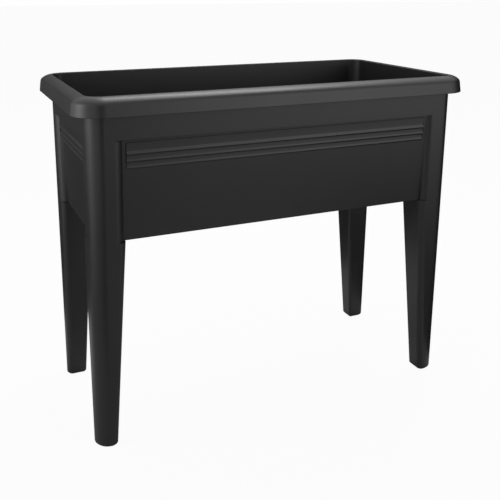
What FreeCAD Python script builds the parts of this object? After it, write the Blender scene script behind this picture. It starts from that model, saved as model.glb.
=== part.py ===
import FreeCAD, Part
import math
import os

# Planter table: a moulded tub with a rolled rim, four corner columns and louvred
# walls, standing on four push-in legs, with two drain plugs in its floor.
# Millimetres. +X is the long way, -Y the front, +Z up. The origin is on the floor
# under the middle of the tub.

Vector = FreeCAD.Vector

# Overall size, taken at the rim
LENGTH = 776.0
WIDTH = 412.0
HEIGHT = 650.0
WALL = 3.0

# Stance: the column and leg faces lean, measured from under the rim to the floor
END_SPLAY = 10.0
SIDE_LEAN = 17.0

# Rim: a skirt that hangs clear of the tub, a soft edge and a crown that rises to the mouth
LIP_DROP = 32.0
LIP_OVERHANG = 23.5
LIP_FACE_HEIGHT = 22.5
LIP_FACE_LEAN = 3.0
LIP_EDGE = 4.0

# Columns at the four corners of the tub
COLUMN_RADIUS = 27.0
COLUMN_FACE_TOP = 17.0
COLUMN_FACE_SEAM = 16.0
COLUMN_FACE_END = 19.0
ROLL_SPARE = 1.5

# Walls between the columns: a plain band, louvres and a panel that leans in
BAND_HEIGHT = 43.5
PANEL_HEIGHT = 179.5
PANEL_DEPTH_TOP = 7.0
PANEL_DEPTH_SEAM = 14.5
LOUVRE_GROOVE = 5.5
LOUVRE_GAP = 4.0
LOUVRE_HEIGHTS = (21.5, 12.5, 12.0)
LOUVRE_DEPTH = 4.5
LOUVRE_STEP = 1.5
LOUVRE_TILT = 1.0

# Floor of the tub and its underside
FLOOR_LIFT = 15.0
RIB_THICKNESS = 2.5
CROSS_RIBS = 5
LONG_RIBS = 2

# Legs
LEG_WIDTH_X = 61.5
LEG_WIDTH_Y = 70.0
FOOT_WIDTH = 39.5
FOOT_FLAT = 0.5
LEG_INNER_RADIUS = 6.0
FOOT_EDGE = 4.0
SHOULDER = 6.0
SPIGOT_LENGTH = 55.0
SPIGOT_HEADROOM = 5.0
SPIGOT_SLIP = 0.3

# Drain plugs
DRAIN_BORE = 20.0
DRAIN_SPACING = 360.0
DRAIN_BOSS = 30.0
PLUG_CLEARANCE = 0.05
PLUG_FLANGE = 28.0
PLUG_FLANGE_THICKNESS = 3.0
PLUG_LEAD_IN = 1.0
GRIP_WIDTH = 16.0
GRIP_DROP = 9.0
GRIP_THICKNESS = 3.0

# Heights that follow from the sizes above
LIP_Z = HEIGHT - LIP_DROP
BAND_Z = LIP_Z - BAND_HEIGHT
SEAM_Z = BAND_Z - PANEL_HEIGHT
FLOOR_Z = SEAM_Z + FLOOR_LIFT
POCKET_DEPTH = SPIGOT_LENGTH + SPIGOT_HEADROOM

LIP_RADIUS = COLUMN_RADIUS + LIP_OVERHANG
LEG_SIDE_RADIUS = FOOT_WIDTH - COLUMN_RADIUS - FOOT_FLAT
ROLL_RADIUS = PANEL_DEPTH_SEAM + ROLL_SPARE
COLUMN_ARM = ROLL_RADIUS + 4 * WALL
LOUVRE_EDGE = LOUVRE_STEP + LOUVRE_TILT
CORNERS = ((1, 1), (-1, 1), (-1, -1), (1, -1))
MARGIN = 1.0


def blend(start, end, share):
    """Return the value a share of the way from start to end."""
    return start + (end - start) * share


def half_length(z):
    """Half the distance between the end faces of the columns or legs at a height."""
    return LENGTH / 2 - LIP_OVERHANG + END_SPLAY * (1 - z / LIP_Z)


def half_width(z):
    """Half the distance between the front and back faces at a height."""
    return WIDTH / 2 - LIP_OVERHANG - SIDE_LEAN * (1 - z / LIP_Z)


def panel_depth(z):
    """How far the wall panel lies behind the column faces at a height."""
    return blend(PANEL_DEPTH_SEAM, PANEL_DEPTH_TOP, (z - SEAM_Z) / PANEL_HEIGHT)


def line(start, end):
    """Straight edge."""
    return Part.makeLine(start, end)


def arc(start, middle, end):
    """Circular edge through three points."""
    return Part.Arc(start, middle, end).toShape()


def round_point(centre, radius, angle):
    """Point at an angle, in degrees from +X, on a level circle."""
    turn = math.radians(angle)
    return centre + Vector(radius * math.cos(turn), radius * math.sin(turn), 0)


def round_corner(centre, radius, first_angle):
    """Quarter circle from an angle, in degrees from +X, anticlockwise."""
    return arc(*[round_point(centre, radius, first_angle + step) for step in (0, 45, 90)])


def start_of(edge):
    """First point of an edge."""
    return edge.valueAt(edge.FirstParameter)


def end_of(edge):
    """Last point of an edge."""
    return edge.valueAt(edge.LastParameter)


def rounded_outline(low, high, radii, z):
    """Edges of a level rectangle whose corners have their own radii, anticlockwise from low."""
    signs = ((-1, -1), (1, -1), (1, 1), (-1, 1))
    arcs = []
    for index, (sign_x, sign_y) in enumerate(signs):
        radius = radii[index]
        corner_x = high[0] if sign_x > 0 else low[0]
        corner_y = high[1] if sign_y > 0 else low[1]
        centre = Vector(corner_x - sign_x * radius, corner_y - sign_y * radius, z)
        arcs.append(round_corner(centre, radius, 180 + 90 * index))
    edges = []
    for index, bend in enumerate(arcs):
        edges.append(bend)
        edges.append(line(end_of(bend), start_of(arcs[(index + 1) % len(arcs)])))
    return edges


def rectangle(low_x, low_y, high_x, high_y, z):
    """Corners of a level rectangle, anticlockwise from the low one."""
    corners = ((low_x, low_y), (high_x, low_y), (high_x, high_y), (low_x, high_y))
    return [Vector(x, y, z) for x, y in corners]


def polygon_face(points):
    """Flat face inside a closed polygon."""
    return Part.Face(Part.makePolygon(points + points[:1]))


def round_uprights(solid, low, high, radii):
    """Round the upright edges between two level polygons, each by its own radius."""
    for start, end, radius in zip(low, high, radii):
        if radius > 0:
            middle = (start + end) / 2
            upright = min(solid.Edges, key=lambda edge: edge.CenterOfMass.distanceToPoint(middle))
            solid = solid.makeFillet(radius, [upright])
    return solid


def frustum(low, high, radii=()):
    """Flat-walled solid between two level polygons, with upright edges rounded by their radii."""
    walls = []
    for index, start in enumerate(low):
        after = (index + 1) % len(low)
        walls.append(polygon_face([start, low[after], high[after], high[index]]))
    solid = Part.Solid(Part.makeShell(walls + [polygon_face(low), polygon_face(high)]))
    return round_uprights(solid, low, high, radii)


def panel_corners(z, inset):
    """Plan of the four wall panels, which lie behind the column faces."""
    x = half_length(z) - panel_depth(z) - inset
    y = half_width(z) - panel_depth(z) - inset
    return rectangle(-x, -y, x, y, z)


def band_corners(z, inset):
    """Plan of the plain band, whose faces run on from the columns."""
    x = half_length(z) - inset
    y = half_width(z) - inset
    return rectangle(-x, -y, x, y, z)


def column_corners(z, inset):
    """Plan of the column at +X +Y: two arms from the corner, whose ends turn in to the panels."""
    long_face = blend(COLUMN_FACE_SEAM, COLUMN_FACE_TOP, (z - SEAM_Z) / PANEL_HEIGHT)
    x = half_length(z) - inset
    y = half_width(z) - inset
    long_x = half_length(z) - COLUMN_RADIUS - long_face - ROLL_RADIUS + inset
    end_y = half_width(z) - COLUMN_RADIUS - COLUMN_FACE_END - ROLL_RADIUS + inset
    inner_x = half_length(z) - COLUMN_ARM
    inner_y = half_width(z) - COLUMN_ARM
    return [
        Vector(inner_x, end_y, z),
        Vector(x, end_y, z),
        Vector(x, y, z),
        Vector(long_x, y, z),
        Vector(long_x, inner_y, z),
        Vector(inner_x, inner_y, z),
    ]


def leg_limits(z, inset):
    """Lowest and highest X and Y of the leg at the +X +Y corner."""
    share = z / SEAM_Z
    low_x = half_length(z) - blend(FOOT_WIDTH, LEG_WIDTH_X, share) + inset
    low_y = half_width(z) - blend(FOOT_WIDTH, LEG_WIDTH_Y, share) + inset
    return low_x, low_y, half_length(z) - inset, half_width(z) - inset


def leg_radii(inset, inner_radius):
    """Corner radii of the leg, in the order of its rectangle: the outer one runs on from the column."""
    radii = (inner_radius, LEG_SIDE_RADIUS, COLUMN_RADIUS, LEG_SIDE_RADIUS)
    return [max(radius - inset, 0) for radius in radii]


def leg_solid(low_z, high_z, inset=0.0):
    """Tapered block of the leg between two heights."""
    low = rectangle(*leg_limits(low_z, inset), low_z)
    high = rectangle(*leg_limits(high_z, inset), high_z)
    return frustum(low, high, leg_radii(inset, LEG_INNER_RADIUS))


def along_lean(points, rise):
    """Points of a section at the seam, moved along the lean of the +X +Y column."""
    z = SEAM_Z + rise
    shift = Vector(half_length(z) - half_length(SEAM_Z), half_width(z) - half_width(SEAM_Z), rise)
    return [point + shift for point in points]


def lean_prism(points, low, high, radii=()):
    """Section at the seam drawn out along the lean of the +X +Y column, between two rises."""
    return frustum(along_lean(points, low), along_lean(points, high), radii)


def leg_prism(inset, low, high):
    """Section of the leg at the seam with a square inner corner, drawn out along the column."""
    outline = rectangle(*leg_limits(SEAM_Z, inset), SEAM_Z)
    return lean_prism(outline, low, high, leg_radii(inset, 0))


def corner_prism(inset, low, high):
    """Block that lies inside both the tub's corner and the leg, moved in by an inset."""
    panels = lean_prism(panel_corners(SEAM_Z, inset), low, high)
    roll = ROLL_RADIUS - inset
    radii = (0, roll, COLUMN_RADIUS - inset, roll)
    column = lean_prism(column_corners(SEAM_Z, inset), low, high, radii)
    return panels.fuse(column).common(leg_prism(inset, low, high)).removeSplitter()


def at_corners(shape):
    """Copies of a +X +Y corner piece at all four corners."""
    copies = []
    for sign_x, sign_y in CORNERS:
        copy = shape.copy()
        if sign_x < 0:
            copy = copy.mirror(Vector(0, 0, 0), Vector(1, 0, 0))
        if sign_y < 0:
            copy = copy.mirror(Vector(0, 0, 0), Vector(0, 1, 0))
        copies.append(copy)
    return copies


def rim():
    """Skirt and crown of the rim, swept once round the tub."""
    edge_x = LENGTH / 2
    edge_y = WIDTH / 2

    def point(inward, z):
        return Vector(0, inward - edge_y, z)

    crown_end = LIP_OVERHANG + WALL - MARGIN
    rise = LIP_DROP - LIP_FACE_HEIGHT
    span = crown_end - LIP_FACE_LEAN
    radius = (span * span + rise * rise) / (2 * rise)

    def on_crown(angle):
        return point(crown_end - radius * math.cos(angle), HEIGHT - radius + radius * math.sin(angle))

    first = math.asin(1 - rise / radius)
    after = first + LIP_EDGE / radius
    last = math.pi / 2
    foot = point(0, LIP_Z)
    brow = on_crown(first)
    below = brow + (foot - brow).normalize() * LIP_EDGE
    beyond = on_crown(after)
    crest = on_crown(last)
    roof = point(crown_end, HEIGHT - WALL)
    inner_top = brow + Vector(0, WALL, 0)
    inner_foot = foot + Vector(0, WALL, 0)
    profile = Part.Wire([
        line(foot, below),
        arc(below, (below + brow * 2 + beyond) / 4, beyond),
        arc(beyond, on_crown((after + last) / 2), crest),
        line(crest, roof),
        line(roof, inner_top),
        line(inner_top, inner_foot),
        line(inner_foot, foot),
    ])
    path = rounded_outline((-edge_x, -edge_y), (edge_x, edge_y), [LIP_RADIUS] * 4, LIP_Z)
    return Part.Wire(path).makePipeShell([profile], True, False)


def louvre_profile(half_size, along):
    """Stepped section of the louvres on one side, where along turns it to that side."""
    z = BAND_Z - LOUVRE_GROOVE
    top = along(half_size(z) - PANEL_DEPTH_SEAM, z)
    head = along(half_size(z) - LOUVRE_DEPTH - LOUVRE_TILT, z)
    edges = [line(top, head)]
    for index, height in enumerate(LOUVRE_HEIGHTS):
        z = z - height
        face = half_size(z) - LOUVRE_DEPTH - index * LOUVRE_STEP
        chin = along(face, z + LOUVRE_EDGE)
        turn = LOUVRE_EDGE * (1 - math.sqrt(0.5))
        next_head = along(face - LOUVRE_EDGE, z)
        edges.append(line(head, chin))
        edges.append(arc(chin, along(face - turn, z + turn), next_head))
        head = next_head
    bottom = along(half_size(z) - PANEL_DEPTH_SEAM, z)
    edges += [line(head, bottom), line(bottom, top)]
    return Part.Face(Part.Wire(edges))


def louvres():
    """Three overlapping boards below the band on each side, which end short of the columns."""
    past_roll = COLUMN_RADIUS + ROLL_RADIUS + LOUVRE_GAP
    reach_x = half_length(BAND_Z) - COLUMN_FACE_TOP - past_roll
    reach_y = half_width(BAND_Z) - COLUMN_FACE_END - past_roll
    boards = []
    for sign in (1, -1):
        front = louvre_profile(half_width, lambda out, z: Vector(-reach_x, sign * out, z))
        boards.append(front.extrude(Vector(2 * reach_x, 0, 0)))
        end = louvre_profile(half_length, lambda out, z: Vector(sign * out, -reach_y, z))
        boards.append(end.extrude(Vector(0, 2 * reach_y, 0)))
    return boards


def drain_places():
    """Centres of the two drains on the floor's middle line."""
    return [Vector(sign * DRAIN_SPACING / 2, 0, 0) for sign in (-1, 1)]


def cylinder(place, radius, low, high):
    """Upright cylinder between two heights."""
    return Part.makeCylinder(radius, high - low, Vector(place.x, place.y, low))


def underside(bosses):
    """The space under the floor, around the ribs, the drain bosses and the leg sockets."""
    low = SEAM_Z - MARGIN
    roof = FLOOR_Z - WALL
    space = frustum(panel_corners(low, WALL), panel_corners(roof, WALL))
    reach_x = half_length(SEAM_Z)
    reach_y = half_width(SEAM_Z)
    solid = list(bosses)
    for index in range(CROSS_RIBS):
        x = blend(-reach_x, reach_x, (index + 1) / (CROSS_RIBS + 1))
        corner = Vector(x - RIB_THICKNESS / 2, -reach_y, SEAM_Z)
        solid.append(Part.makeBox(RIB_THICKNESS, 2 * reach_y, FLOOR_LIFT, corner))
    for index in range(LONG_RIBS):
        y = blend(-reach_y, reach_y, (index + 1) / (LONG_RIBS + 1))
        corner = Vector(-reach_x, y - RIB_THICKNESS / 2, SEAM_Z)
        solid.append(Part.makeBox(2 * reach_x, RIB_THICKNESS, FLOOR_LIFT, corner))
    for place in drain_places():
        solid.append(cylinder(place, DRAIN_BOSS / 2, SEAM_Z + PLUG_FLANGE_THICKNESS, FLOOR_Z))
    return space.cut(solid)


def hull(low, step, high, inset=0.0):
    """Panels and columns below a step, and the band above it, as one solid moved in by an inset."""
    panels = frustum(panel_corners(low, inset), panel_corners(step, inset))
    roll = ROLL_RADIUS - inset
    column = frustum(column_corners(low, inset), column_corners(step, inset), (0, roll, 0, roll))
    band = frustum(band_corners(step, inset), band_corners(high, inset))
    solid = panels.fuse(at_corners(column) + [band]).removeSplitter()
    corners = [COLUMN_RADIUS - inset] * 4
    return round_uprights(solid, band_corners(low, inset), band_corners(high, inset), corners)


def tub():
    """The moulded tub with its rim, columns, louvred walls, floor and leg sockets."""
    wall_top = HEIGHT - WALL / 2
    cavity = hull(FLOOR_Z, BAND_Z + WALL, HEIGHT + MARGIN, WALL)
    shell = hull(SEAM_Z, BAND_Z, wall_top).fuse(louvres()).cut(cavity)

    core = hull(SEAM_Z, BAND_Z, wall_top, WALL / 2)
    bosses = at_corners(leg_prism(0, 0, POCKET_DEPTH + WALL).common(core))
    shell = shell.fuse(bosses + [rim()])

    pockets = at_corners(corner_prism(WALL, 0, POCKET_DEPTH))
    drains = [cylinder(p, DRAIN_BORE / 2, SEAM_Z, FLOOR_Z + MARGIN) for p in drain_places()]
    return shell.cut([underside(bosses)] + pockets + drains).removeSplitter()


def leg():
    """Hollow tapered leg for the +X +Y corner, with a bevelled sole and a spigot on its shoulder."""
    post = leg_solid(0, SEAM_Z)
    sole = [edge for edge in post.Edges if edge.BoundBox.ZMax < MARGIN]
    post = post.makeChamfer(FOOT_EDGE, sole)
    spigot = corner_prism(WALL + SPIGOT_SLIP, 0, SPIGOT_LENGTH)

    hollow = leg_solid(WALL, SEAM_Z - SHOULDER, WALL)
    throat = corner_prism(2 * WALL + SPIGOT_SLIP, -SHOULDER - MARGIN, SPIGOT_LENGTH + MARGIN)
    return post.fuse(spigot).cut([hollow, throat]).removeSplitter()


def drain_plug(place):
    """Push-in plug: a stem that fills the bore, a flange under the boss and a grip."""
    radius = DRAIN_BORE / 2 - PLUG_CLEARANCE
    flange_top = SEAM_Z + PLUG_FLANGE_THICKNESS
    stem = cylinder(place, radius, SEAM_Z, FLOOR_Z)
    top_edge = [edge for edge in stem.Edges if edge.BoundBox.ZMin > FLOOR_Z - MARGIN]
    stem = stem.makeChamfer(PLUG_LEAD_IN, top_edge)
    flange = cylinder(place, PLUG_FLANGE / 2, SEAM_Z, flange_top)

    side = place + Vector(-GRIP_WIDTH / 2, -GRIP_THICKNESS / 2, SEAM_Z)
    across = Vector(GRIP_WIDTH, 0, 0)
    bottom = side + across / 2 - Vector(0, 0, GRIP_DROP)
    tab = Part.Wire([arc(side, bottom, side + across), line(side + across, side)])
    grip = Part.Face(tab).extrude(Vector(0, GRIP_THICKNESS, 0))
    return stem.fuse([flange, grip]).removeSplitter()


def build():
    """Return every piece by its name."""
    pieces = {"tub": tub()}
    names = ("leg_back_right", "leg_back_left", "leg_front_left", "leg_front_right")
    for name, shape in zip(names, at_corners(leg())):
        pieces[name] = shape
    for name, place in zip(("drain_plug_left", "drain_plug_right"), drain_places()):
        pieces[name] = drain_plug(place)
    return pieces


os.makedirs("parts", exist_ok=True)
for piece_name, piece in build().items():
    print(piece_name, "solids", len(piece.Solids), "valid", piece.isValid(), "mm3", round(piece.Volume))
    piece.exportStep("parts/" + piece_name + ".step")
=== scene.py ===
# %% [markdown]
# # Planter table
# A raised planter: a black moulded tub with a rolled rim and louvred walls, on four tapered legs.
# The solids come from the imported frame, in metres. Here they get flared boards, soft edges, a moulded
# finish, studio light and the photograph's camera.

# %% Load the frame
import bpy
import bmesh
import math
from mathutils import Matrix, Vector


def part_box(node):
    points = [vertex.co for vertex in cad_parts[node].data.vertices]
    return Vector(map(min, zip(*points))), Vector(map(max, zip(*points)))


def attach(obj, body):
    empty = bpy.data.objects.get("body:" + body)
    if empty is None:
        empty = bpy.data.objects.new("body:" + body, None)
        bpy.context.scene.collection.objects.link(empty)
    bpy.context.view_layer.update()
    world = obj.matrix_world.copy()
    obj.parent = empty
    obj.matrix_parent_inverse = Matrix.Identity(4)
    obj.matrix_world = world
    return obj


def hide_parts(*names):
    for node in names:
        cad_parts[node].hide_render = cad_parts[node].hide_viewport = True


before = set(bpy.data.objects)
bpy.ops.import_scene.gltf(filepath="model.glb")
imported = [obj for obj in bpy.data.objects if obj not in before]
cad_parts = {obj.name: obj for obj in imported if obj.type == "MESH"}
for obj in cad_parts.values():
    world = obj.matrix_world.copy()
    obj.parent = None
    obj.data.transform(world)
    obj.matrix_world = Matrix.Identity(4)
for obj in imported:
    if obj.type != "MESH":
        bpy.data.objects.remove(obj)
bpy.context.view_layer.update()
MM = 0.001


# %% [markdown]
# ## Colours and nodes
# Colours are written as the eye reads them, as sRGB hex, and one function turns them to the linear
# values that the shader wants. Nodes could be made one line at a time, but a second small function
# that adds a node, sets it and links its inputs keeps each material short enough to read.

# %% Colour and node helpers
def linear(hex_colour):
    """Linear RGBA of an sRGB hex colour."""
    parts = [int(hex_colour[index:index + 2], 16) / 255 for index in (1, 3, 5)]
    return [part / 12.92 if part <= 0.04045 else ((part + 0.055) / 1.055) ** 2.4 for part in parts] + [1.0]


def add(tree, kind, settings=None, **inputs):
    """Add a node, set its properties, and set or link its input sockets by name."""
    node = tree.nodes.new(kind)
    for name, value in (settings or {}).items():
        setattr(node, name, value)
    for name, value in inputs.items():
        socket = node.inputs[name.replace("_", " ")]
        if isinstance(value, bpy.types.NodeSocket):
            tree.links.new(value, socket)
        else:
            socket.default_value = value
    return node


print("middle grey in linear light:", round(linear("#808080")[0], 3))

# %% [markdown]
# ## Moulded polypropylene
# The tub and legs are injection moulded polypropylene, dyed black. The steel mould is etched, so the
# skin has a fine grain that spreads highlights into a satin sheen. Flow of the melt leaves very faint
# cloudy differences in tone and gloss. A picture of the skin could be wrapped round each piece, but it
# would show seams, so two noise textures on Object coordinates make the clouds and the grain. Grain
# under half a millimetre is too fine to show from a step away, so it is drawn a little coarser. The
# plugs are soft polyethylene, a little darker and more matt.

# %% Moulded plastic finish
CLOUD = 90 * MM
GRAIN = 1.2 * MM
GRAIN_HEIGHT = 0.04 * MM
GRAIN_STRENGTH = 0.35
GLOSS_SPREAD = 0.03
PLASTIC_IOR = 1.49
SATIN = 0.40
MATT = 0.55


def moulded_plastic(name, dark, light, roughness):
    """Dyed plastic from an etched mould: two close tones, an even gloss and a fine grain."""
    material = bpy.data.materials.new(name)
    material.use_nodes = True
    tree = material.node_tree
    tree.nodes.clear()
    place = add(tree, "ShaderNodeTexCoord").outputs["Object"]
    cloud = add(tree, "ShaderNodeTexNoise", Vector=place, Scale=1 / CLOUD, Detail=3.0, Roughness=0.5)
    grain = add(tree, "ShaderNodeTexNoise", Vector=place, Scale=1 / GRAIN, Detail=2.0, Roughness=0.6)
    tone = add(tree, "ShaderNodeMix", {"data_type": "RGBA"}, Factor=cloud.outputs["Fac"],
               A=linear(dark), B=linear(light))
    gloss = add(tree, "ShaderNodeMapRange", Value=cloud.outputs["Fac"],
                To_Min=roughness - GLOSS_SPREAD, To_Max=roughness + GLOSS_SPREAD)
    bump = add(tree, "ShaderNodeBump", Height=grain.outputs["Fac"], Strength=GRAIN_STRENGTH,
               Distance=GRAIN_HEIGHT)
    skin = add(tree, "ShaderNodeBsdfPrincipled", Base_Color=tone.outputs["Result"],
               Roughness=gloss.outputs["Result"], Normal=bump.outputs["Normal"], IOR=PLASTIC_IOR)
    add(tree, "ShaderNodeOutputMaterial", Surface=skin.outputs["BSDF"])
    return material


tub_plastic = moulded_plastic("polypropylene_moulded_black", "#1a1a1b", "#1e1e1f", SATIN)
leg_plastic = moulded_plastic("polypropylene_moulded_black_leg", "#1a1a1b", "#1e1e1f", SATIN)
plug_plastic = moulded_plastic("polyethylene_soft_black", "#151515", "#181818", MATT)
print("finishes:", [finish.name for finish in (tub_plastic, leg_plastic, plug_plastic)])

# %% [markdown]
# ## Flared boards
# Below the plain band each wall has three overlapping boards. On the real moulding a board runs straight
# down and flares out at its chin, so only the chin catches the light. The CAD boards are straight from
# head to chin. They could be sculpted, but a few level cuts across a board and a small push inwards at
# each cut are enough, and head, chin and ends stay where they are.

# %% Which faces are louvre boards
X, Y, Z = 0, 1, 2
LOUVRE_TOP = 570 * MM
BOARD_LENGTH = 200 * MM
BOARD_LOWEST = 8 * MM
BOARD_TALLEST = 20 * MM


def extent(face, axis):
    """Lowest place of a face along an axis, and its size there."""
    places = [vertex.co[axis] for vertex in face.verts]
    return min(places), max(places) - min(places)


def is_board(face):
    """Whether a face of the tub is the front of a louvre board."""
    low, tall = extent(face, Z)
    long = max(extent(face, X)[1], extent(face, Y)[1])
    return low + tall < LOUVRE_TOP and BOARD_LOWEST < tall < BOARD_TALLEST and long > BOARD_LENGTH


print("boards are sought below", round(LOUVRE_TOP / MM), "mm")

# %% Flare of the boards
# Shares of a board's height: how far up the flare begins, and how deep the fold lies there.
FLARE_SHARE = 0.28
FOLD_SHARE = 0.075
FLARE_CUTS = 3


def flare_board(work, face):
    """Cut a board across near its chin, and push the cuts in, the more the higher they are."""
    low, tall = extent(face, Z)
    flare = FLARE_SHARE * tall
    inwards = Vector((-face.normal.x, -face.normal.y, 0)).normalized()
    geometry = [face] + list(face.edges) + list(face.verts)
    cuts = []
    for step in range(1, FLARE_CUTS + 1):
        level = low + flare * step / FLARE_CUTS
        cut = bmesh.ops.bisect_plane(work, geom=geometry, plane_co=(0, 0, level), plane_no=(0, 0, 1))
        geometry = cut["geom"]
        cuts += [part for part in cut["geom_cut"] if isinstance(part, bmesh.types.BMVert)]
    for vertex in cuts:
        share = (vertex.co.z - low) / flare
        vertex.co += inwards * FOLD_SHARE * tall * share


def flare_boards(work):
    """Flare every louvre board of the tub."""
    boards = [face for face in work.faces if is_board(face)]
    for face in boards:
        flare_board(work, face)
    print("flared boards:", len(boards))


print("a board flares over", FLARE_SHARE, "of its height, in", FLARE_CUTS, "cuts")

# %% [markdown]
# ## Soft edges
# A moulding has no knife edges: each one is rounded by about a millimetre, and that thin round is
# what catches a line of light. A Bevel modifier could round every edge past an angle, but the joint
# between a leg and the tub has to stay a hairline, so the bevel operator is used, with a list of the
# edges that it may touch. The CAD meshes are loose triangles, so a copy is merged first and its flat
# triangles are joined, which leaves only the real edges.

# %% Edges that stay sharp
JOINT_LEVEL = 0.1 * MM
JOINT_SLACK = 1 * MM
# Height of the joints, and how far the legs' inner sides stand from the middle.
seam_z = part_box("tub")[0][Z]
leg_inner_x = -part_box("leg_front_left")[1][X]
leg_inner_y = -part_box("leg_front_left")[1][Y]


def at_leg_joint(edge):
    """Whether an edge lies in the joint between a leg and the tub."""
    middle = (edge.verts[0].co + edge.verts[1].co) / 2
    level = all(abs(vertex.co.z - seam_z) < JOINT_LEVEL for vertex in edge.verts)
    beside = abs(middle.x) > leg_inner_x - JOINT_SLACK and abs(middle.y) > leg_inner_y - JOINT_SLACK
    return level and beside


print("leg joints at", round(seam_z / MM, 1), "mm")

# %% Rounded copies of the moulded pieces
MERGE = 0.002 * MM
FLAT_ANGLE = math.radians(0.3)
SHARP_ANGLE = math.radians(28)
CREASE_ANGLE = math.radians(40)
ROUND_STEPS = 3
EDGE_ROUND = 0.8 * MM
PLUG_ROUND = 0.4 * MM


def round_edges(work, edge_round):
    """Bevel the sharp edges of a bmesh, apart from those in a leg joint."""
    edges = [edge for edge in work.edges if edge.is_manifold and edge.calc_face_angle(0) > SHARP_ANGLE]
    edges = [edge for edge in edges if not at_leg_joint(edge)]
    bmesh.ops.bevel(work, geom=edges, offset=edge_round, offset_type="OFFSET", segments=ROUND_STEPS,
                    profile=0.5, affect="EDGES", clamp_overlap=False, material=-1)
    return len(edges)


def soften(node, edge_round, material, body):
    """Stand a copy with rounded edges in place of a CAD node."""
    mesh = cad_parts[node].data.copy()
    mesh.name = node + "_moulding"
    work = bmesh.new()
    work.from_mesh(mesh)
    bmesh.ops.remove_doubles(work, verts=work.verts, dist=MERGE)
    bmesh.ops.dissolve_limit(work, angle_limit=FLAT_ANGLE, verts=work.verts, edges=work.edges)
    if node == "tub":
        flare_boards(work)
    count = round_edges(work, edge_round)
    work.to_mesh(mesh)
    work.free()
    mesh.shade_smooth()
    mesh.set_sharp_from_angle(angle=CREASE_ANGLE)
    mesh.materials.clear()
    mesh.materials.append(material)
    piece = bpy.data.objects.new(node + "_moulding", mesh)
    bpy.context.scene.collection.objects.link(piece)
    even = piece.modifiers.new("flat_faces_stay_flat", "WEIGHTED_NORMAL")
    even.keep_sharp = True
    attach(piece, body)
    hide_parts(node)
    print(node, "faces", len(mesh.polygons), "rounded edges", count)


soften("tub", EDGE_ROUND, tub_plastic, "planter")
for leg in ("leg_front_left", "leg_front_right", "leg_back_left", "leg_back_right"):
    soften(leg, EDGE_ROUND, leg_plastic, "planter")
for side in ("left", "right"):
    soften("drain_plug_" + side, PLUG_ROUND, plug_plastic, side + "_plug")

# %% [markdown]
# ## Studio
# The planter stands on a plain pale floor that runs into a white surround. More light would whiten
# them, but it would grey the black plastic too. Instead both are drawn white for what looks straight
# at them, in a mirror or through clear material, and they light the rest at a plain level. The floor
# keeps a share of its own shading, so the planter's shadow stays.

# %% Studio helpers
def background_rays(tree):
    """Socket that is 1 for rays from the camera, a reflection or clear material."""
    rays = add(tree, "ShaderNodeLightPath").outputs
    seen = rays["Is Camera Ray"]
    for kind in ("Is Glossy Ray", "Is Transmission Ray"):
        either = add(tree, "ShaderNodeMath", {"operation": "MAXIMUM"})
        tree.links.new(seen, either.inputs[0])
        tree.links.new(rays[kind], either.inputs[1])
        seen = either.outputs[0]
    return seen


def sheet(name, corner, side, other_side, colour):
    """Sheet of matt paper or cloth for the studio, from a corner and the two sides that leave it."""
    mesh = bpy.data.meshes.new(name)
    work = bmesh.new()
    start = Vector(corner)
    right = start + Vector(side)
    points = [start, right, right + Vector(other_side), start + Vector(other_side)]
    work.faces.new([work.verts.new(point) for point in points])
    work.to_mesh(mesh)
    work.free()
    piece = bpy.data.objects.new(name, mesh)
    bpy.context.scene.collection.objects.link(piece)
    material = bpy.data.materials.new(name + "_matt")
    material.use_nodes = True
    tree = material.node_tree
    tree.nodes.clear()
    skin = add(tree, "ShaderNodeBsdfDiffuse", Color=linear(colour))
    add(tree, "ShaderNodeOutputMaterial", Surface=skin.outputs["BSDF"])
    mesh.materials.append(material)
    return piece


# %% Floor
FLOOR_SIZE = 60.0
FLOOR_GLOW = 0.95
half = FLOOR_SIZE / 2
floor = sheet("floor", (-half, -half, 0), (FLOOR_SIZE, 0, 0), (0, FLOOR_SIZE, 0), "#f2f2f2")
tree = floor.data.materials[0].node_tree
glow = add(tree, "ShaderNodeEmission", Color=linear("#ffffff"), Strength=1.0)
share = add(tree, "ShaderNodeMapRange", Value=background_rays(tree), To_Min=0.0, To_Max=FLOOR_GLOW)
blend = add(tree, "ShaderNodeMixShader", Fac=share.outputs["Result"])
tree.links.new(tree.nodes["Diffuse BSDF"].outputs["BSDF"], blend.inputs[1])
tree.links.new(glow.outputs["Emission"], blend.inputs[2])
tree.links.new(blend.outputs["Shader"], tree.nodes["Material Output"].inputs["Surface"])
print("floor:", FLOOR_SIZE, "m across")

# %% White surround
SURROUND_LIGHT = 0.35
world = bpy.data.worlds.new("white_surround")
bpy.context.scene.world = world
world.use_nodes = True
tree = world.node_tree
tree.nodes.clear()
level = add(tree, "ShaderNodeMapRange", Value=background_rays(tree), To_Min=SURROUND_LIGHT, To_Max=1.0)
surround = add(tree, "ShaderNodeBackground", Color=linear("#ffffff"), Strength=level.outputs["Result"])
add(tree, "ShaderNodeOutputWorld", Surface=surround.outputs["Background"])
print("surround lights the planter at", SURROUND_LIGHT)

# %% [markdown]
# ## Cloths and cards
# A black product mirrors whatever stands round it, so its tones are set by what it sees and not only
# by its lamps. More lamps would lift every tone alike, so cloths of several greys lie on the floor, and
# dark cards stand in front, behind and to the right, out of the picture. A leg sees the near cloths and
# the tub the far ones, because a mirrored ray from higher up lands farther away. All of them are seen
# only in reflections.

# %% Cloths and cards
CLOTH_Z = 1 * MM
UPPER_CLOTH_Z = 2 * MM


def only_in_reflections(piece):
    """Hide a sheet from everything but glossy rays."""
    piece.visible_camera = False
    piece.visible_diffuse = False
    piece.visible_shadow = False
    piece.visible_transmission = False


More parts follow.
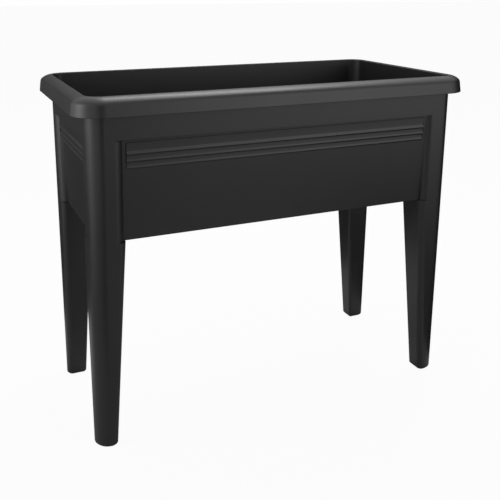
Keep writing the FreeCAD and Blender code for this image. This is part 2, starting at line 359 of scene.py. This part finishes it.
cloths = [
    sheet("pale_cloth", (-0.7, -0.9, CLOTH_Z), (1.9, 0, 0), (0, 1.3, 0), "#e0e0e0"),
    sheet("left_cloth", (-1.6, -1.5, CLOTH_Z), (0.9, 0, 0), (0, 1.9, 0), "#909090"),
    sheet("grey_cloth", (-0.7, -1.8, CLOTH_Z), (2.7, 0, 0), (0, 0.9, 0), "#a0a0a0"),
    sheet("dark_cloth", (-2.4, 0.4, CLOTH_Z), (5.4, 0, 0), (0, 3.0, 0), "#383838"),
    sheet("side_cloth", (0.42, -0.9, UPPER_CLOTH_Z), (2.0, 0, 0), (0, 1.5, 0), "#181818"),
    sheet("dark_strip", (-0.75, -1.8, UPPER_CLOTH_Z), (0.4, 0, 0), (0, 1.25, 0), "#181818"),
    sheet("card_front", (-0.9, -1.9, 0), (0.85, 0, 0), (0, 0, 1.8), "#181818"),
    sheet("card_behind", (-2.4, 3.4, 0), (5.6, 0, 0), (0, 0, 2.2), "#606060"),
    sheet("card_right", (2.2, -0.9, 0), (0, 4.4, 0), (0, 0, 1.8), "#181818"),
]
for cloth in cloths:
    only_in_reflections(cloth)
print("reflected sheets:", len(cloths))

# %% [markdown]
# ## Lamps
# A long narrow lamp nearly overhead draws the bright line along the crown of the rim. A lamp on the
# left rounds the corner column, and one low on the right lifts the front. Small hard lamps would give
# the same lines but harsh shadows. These are soft, and weak, because the white surround already lights
# the planter from every side.

# %% Lamps
AIM = (0.0, 0.0, 0.45)


def soft_light(name, place, width, height, watts):
    """Rectangular area light that faces the planter."""
    lamp = bpy.data.lights.new(name, "AREA")
    lamp.shape = "RECTANGLE"
    lamp.size = width
    lamp.size_y = height
    lamp.energy = watts
    holder = bpy.data.objects.new(name, lamp)
    bpy.context.scene.collection.objects.link(holder)
    holder.location = place
    holder.rotation_euler = (Vector(AIM) - Vector(place)).to_track_quat("-Z", "Y").to_euler()
    holder.visible_camera = False


soft_light("top_light", (0.7, 0.9, 2.7), 1.4, 0.4, 28)
soft_light("left_light", (-2.4, 0.0, 1.0), 1.3, 1.4, 19)
soft_light("right_light", (1.4, -2.6, 0.9), 1.6, 1.4, 9.5)
print("lamps:", len(bpy.data.lights))

# %% [markdown]
# ## Camera
# The photograph looks down on the front left corner at about fourteen degrees. A camera that is only
# tilted could frame the planter too, but its uprights would run together more than they do here. The
# photograph's lens axis lies above the middle of the frame, as with a shift lens, so the camera has
# that shift.

# %% Camera at the photograph's place
PHOTO_SIZE = 500.0
FOCAL_PIXELS = 733.6
CENTRE_ROW = 172.7
SENSOR = 36.0
CAMERA_PLACE = (-0.5948, -1.3472, 0.8237)
CAMERA_TILT = math.radians(75.62)
CAMERA_TURN = math.radians(-23.87)
camera_data = bpy.data.cameras.new("photo_camera")
camera_data.sensor_width = SENSOR
camera_data.lens = FOCAL_PIXELS / PHOTO_SIZE * SENSOR
camera_data.shift_y = (CENTRE_ROW - PHOTO_SIZE / 2) / PHOTO_SIZE
camera = bpy.data.objects.new("photo_camera", camera_data)
bpy.context.scene.collection.objects.link(camera)
camera.location = CAMERA_PLACE
camera.rotation_euler = (CAMERA_TILT, 0, CAMERA_TURN)
bpy.context.scene.camera = camera
bpy.context.scene.view_settings.view_transform = "Standard"
print("lens, mm:", round(camera_data.lens, 1), "shift:", round(camera_data.shift_y, 3))
